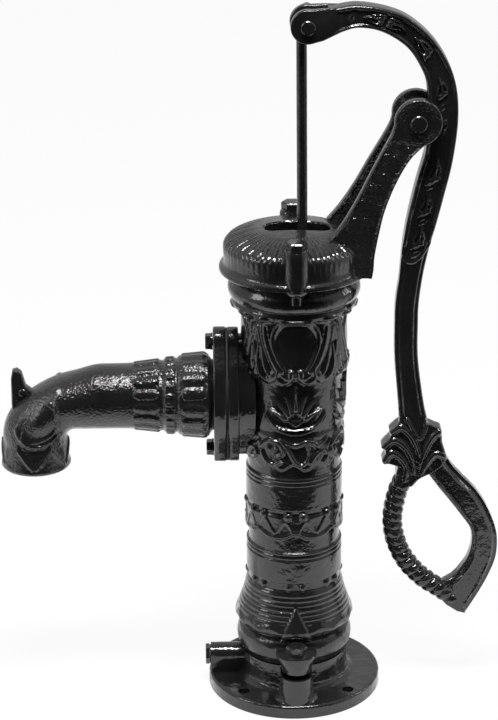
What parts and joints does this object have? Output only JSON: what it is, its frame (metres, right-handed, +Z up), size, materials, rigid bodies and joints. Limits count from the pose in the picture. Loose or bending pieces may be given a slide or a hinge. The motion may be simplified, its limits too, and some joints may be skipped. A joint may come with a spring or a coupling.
{
  "type": "hand well pump",
  "caption": "Cast-iron hand well pump: round base with foot valve, barrel with piston and rod, side spout, slotted lid with fork and curved lever handle with a loop grip.",
  "frame": {"origin": "centre of the base's ring of mounting holes, on the underside of the base, on the barrel's axis", "axes": "+Z up along the barrel, -X towards the spout, +X towards the handle"},
  "size_m": [0.4668, 0.164, 0.6671],
  "materials": {
    "black_paint": "gloss black paint over cast iron",
    "black_steel": "steel painted black with the casting",
    "steel": "plain steel",
    "bare_iron": "bare cast iron",
    "brass": "machined brass",
    "leather": "oiled pump leather",
    "gasket_rubber": "black rubber sheet"
  },
  "bodies": {
    "pump_body": {"base_foot": "black_paint", "base_bolts": "black_steel", "base_washers": "black_steel", "drain_washer": "gasket_rubber", "foot_gasket": "leather", "barrel": "black_paint", "spout": "black_paint", "spout_gasket": "gasket_rubber", "spout_bolts": "black_steel", "spout_washers": "black_steel", "lid_bracket": "black_paint", "lid_bolts": "black_steel", "lid_washers": "black_steel", "pivot_pin": "black_steel", "pivot_washer": "black_steel", "pivot_split_pin": "steel"},
    "handle": {"handle": "black_paint", "rod_pin": "black_steel", "rod_pin_washer": "black_steel", "rod_split_pin": "steel"},
    "rod": {"piston_rod": "black_steel", "rod_collar": "steel", "rod_washer": "steel", "rod_nut": "steel"},
    "piston": {"piston_follower": "bare_iron", "piston_cup": "leather", "piston_cage": "bare_iron"},
    "piston_valve": {"piston_valve": "brass"},
    "foot_flap": {"valve_flap": "leather", "valve_weight": "bare_iron", "valve_screw": "steel"},
    "drain_screw": {"drain_screw": "black_steel"}
  },
  "joints": [
    {"name": "handle_swing", "type": "hinge", "parent": "pump_body", "child": "handle", "pos_m": [0.10976, 0, 0.5627], "axis": [0, -1, 0], "range_deg": [-3, 60]},
    {"name": "rod_swing", "type": "hinge", "parent": "handle", "child": "rod", "pos_m": [0.0118, 0, 0.64846], "axis": [0, -1, 0], "range_deg": [-57, 3.5]},
    {"name": "piston_slide", "type": "slide", "parent": "pump_body", "child": "piston", "axis": [0, 0, 1], "range_m": [-0.1265, 0.0068]},
    {"name": "piston_valve_lift", "type": "slide", "parent": "piston", "child": "piston_valve", "axis": [0, 0, 1], "range_m": [0, 0.005]},
    {"name": "foot_flap_lift", "type": "hinge", "parent": "pump_body", "child": "foot_flap", "pos_m": [0.027, 0, 0.0415], "axis": [0, 1, 0], "range_deg": [0, 28]},
    {"name": "drain_screw_out", "type": "slide", "parent": "pump_body", "child": "drain_screw", "axis": [-1, 0, 0], "range_m": [0, 0.008]}
  ],
  "couplings": [
    {"joint": "rod_swing", "follows": "handle_swing", "ratio": -0.9377},
    {"joint": "piston_slide", "follows": "handle_swing", "m_per_rad": -0.12032}
  ]
}
